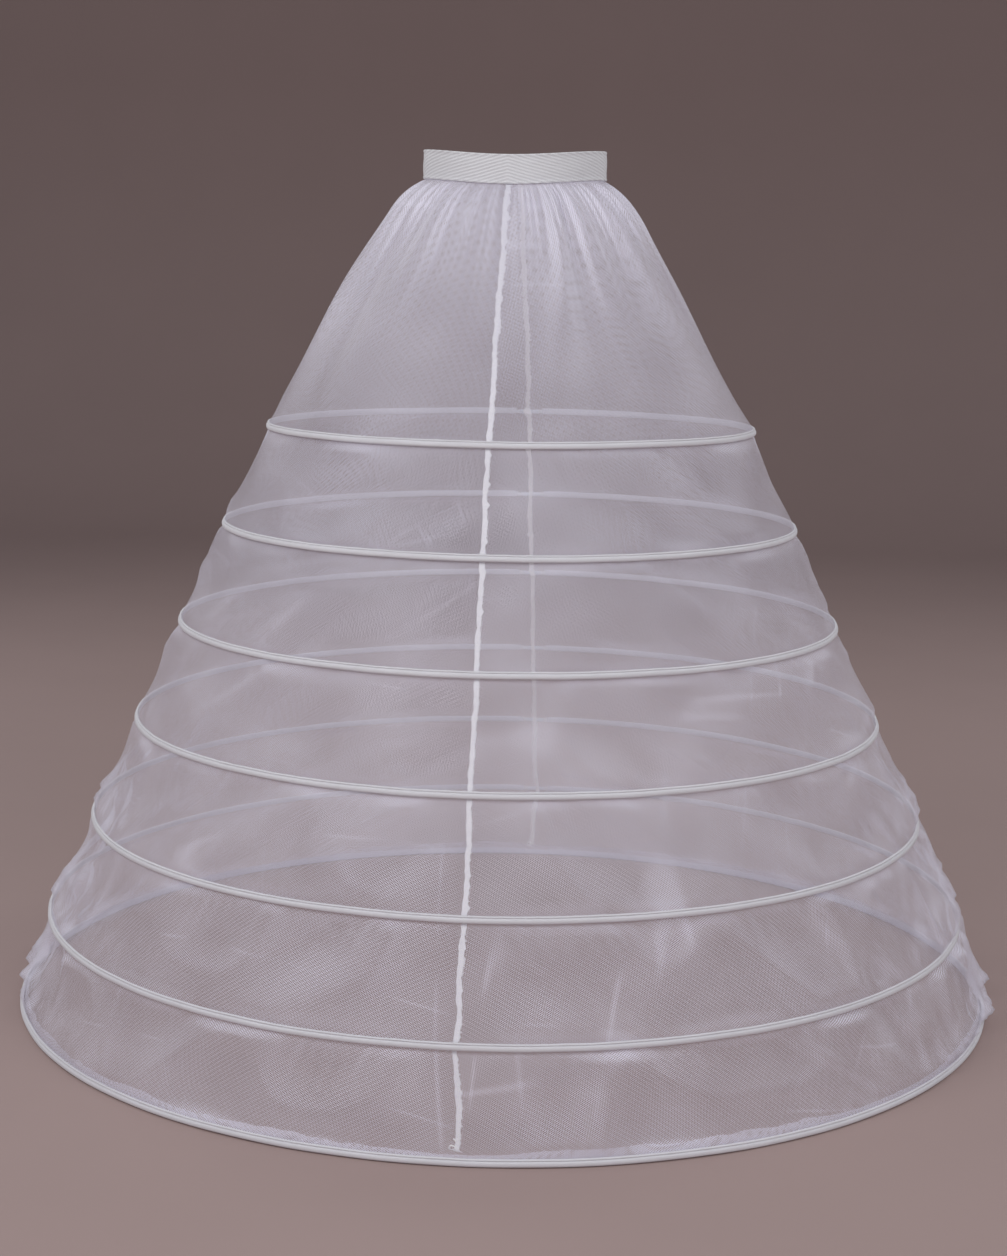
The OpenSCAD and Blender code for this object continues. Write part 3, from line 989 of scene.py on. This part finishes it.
class PETTICOAT_OT_boning(bpy.types.Operator):
    """Finish the hoops and their joining sleeves"""

    bl_idname = "petticoat.boning"
    bl_label = "Boning"

    def execute(self, context):
        colours = context.scene.petticoat_colours
        sheath = boning_finish(colours.boning)
        plastic = joiner_finish(colours.joiner)
        for name, node in NODES.items():
            if name.startswith("hoop_"):
                node.data.materials.clear()
                node.data.materials.append(plastic if name.startswith("hoop_joiner_") else sheath)
        return {"FINISHED"}


class PETTICOAT_OT_stage(bpy.types.Operator):
    """Set the floor, the lights and the camera"""

    bl_idname = "petticoat.stage"
    bl_label = "Stage"

    def execute(self, context):
        scene = context.scene
        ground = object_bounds()[0][2] - 0.0005
        colour = scene.petticoat_colours.floor
        f = Finish("stage_paper", colour, 0.85)
        f.tint(f.noise(3.0, 3.0), shade(colour, 0.97), shade(colour, 1.03))
        bend = np.linspace(0, math.pi / 2, 16)
        sweep_line = [(-9.0, 0.0), *zip(4.4 + 1.6 * np.sin(bend), 1.6 - 1.6 * np.cos(bend)), (6.0, 5.0)]
        points = [[[x, y, ground + z] for x in np.linspace(-9, 9, 5)] for y, z in sweep_line]
        floor = new_piece("stage_floor", np.array(points), strip_faces(len(sweep_line), 5), f.material)
        floor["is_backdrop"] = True

        for name, at, size, power in LAMPS:
            light = bpy.data.lights.new(name, "AREA")
            light.energy = power
            light.size = size
            lamp = bpy.data.objects.new(name, light)
            lamp.location = at
            lamp.rotation_euler = (LAMP_AIM - Vector(at)).to_track_quat("-Z", "Y").to_euler()
            scene.collection.objects.link(lamp)
        world = bpy.data.worlds.new("studio")
        world.use_nodes = True
        sky = world.node_tree.nodes["Background"]
        sky.inputs["Color"].default_value = WORLD_COLOUR
        sky.inputs["Strength"].default_value = WORLD_STRENGTH
        scene.world = world

        ahead = Vector((-math.sin(CAMERA_AZIMUTH), math.cos(CAMERA_AZIMUTH), 0))
        heading = CAMERA_AZIMUTH + CAMERA_TURN
        facing = Vector((-math.sin(heading), math.cos(heading), 0))
        look = facing * math.cos(CAMERA_PITCH) + Vector((0, 0, -math.sin(CAMERA_PITCH)))
        level = look.cross(Vector((0, 0, 1))).normalized()
        upright = level.cross(look)
        right = level * math.cos(CAMERA_ROLL) + upright * math.sin(CAMERA_ROLL)
        up = upright * math.cos(CAMERA_ROLL) - level * math.sin(CAMERA_ROLL)
        lens = bpy.data.cameras.new("camera")
        lens.lens = CAMERA_LENS
        lens.sensor_width = 36
        camera = bpy.data.objects.new("camera", lens)
        camera.matrix_world = Matrix((right, up, -look)).transposed().to_4x4()
        camera.location = Vector((0, 0, CAMERA_HEIGHT)) - ahead * CAMERA_DISTANCE
        scene.collection.objects.link(camera)
        scene.camera = camera
        scene.view_settings.view_transform = "Standard"
        scene.cycles.transparent_max_bounces = 24
        return {"FINISHED"}


class PETTICOAT_PT_panel(bpy.types.Panel):
    """Steps and sizes of the petticoat"""

    bl_label = "Petticoat"
    bl_idname = "PETTICOAT_PT_panel"
    bl_space_type = "VIEW_3D"
    bl_region_type = "UI"
    bl_category = "Petticoat"

    def draw(self, context):
        for step in STEPS:
            self.layout.operator(step.bl_idname)
        for group in (context.scene.petticoat_sizes, context.scene.petticoat_colours):
            box = self.layout.box()
            for name in group.__annotations__:
                box.prop(group, name)


STEPS = (
    PETTICOAT_OT_net_panels,
    PETTICOAT_OT_casings,
    PETTICOAT_OT_waistband,
    PETTICOAT_OT_seams,
    PETTICOAT_OT_boning,
    PETTICOAT_OT_stage,
)
CLASSES = (PetticoatSizes, PetticoatColours, *STEPS, PETTICOAT_PT_panel)


def register():
    for cls in CLASSES:
        bpy.utils.register_class(cls)
    bpy.types.Scene.petticoat_sizes = bpy.props.PointerProperty(type=PetticoatSizes)
    bpy.types.Scene.petticoat_colours = bpy.props.PointerProperty(type=PetticoatColours)


def unregister():
    del bpy.types.Scene.petticoat_colours
    del bpy.types.Scene.petticoat_sizes
    for cls in reversed(CLASSES):
        bpy.utils.unregister_class(cls)


def main():
    register()
    for step in STEPS:
        group, name = step.bl_idname.split(".")
        getattr(getattr(bpy.ops, group), name)()


if __name__ == "__main__":
    main()
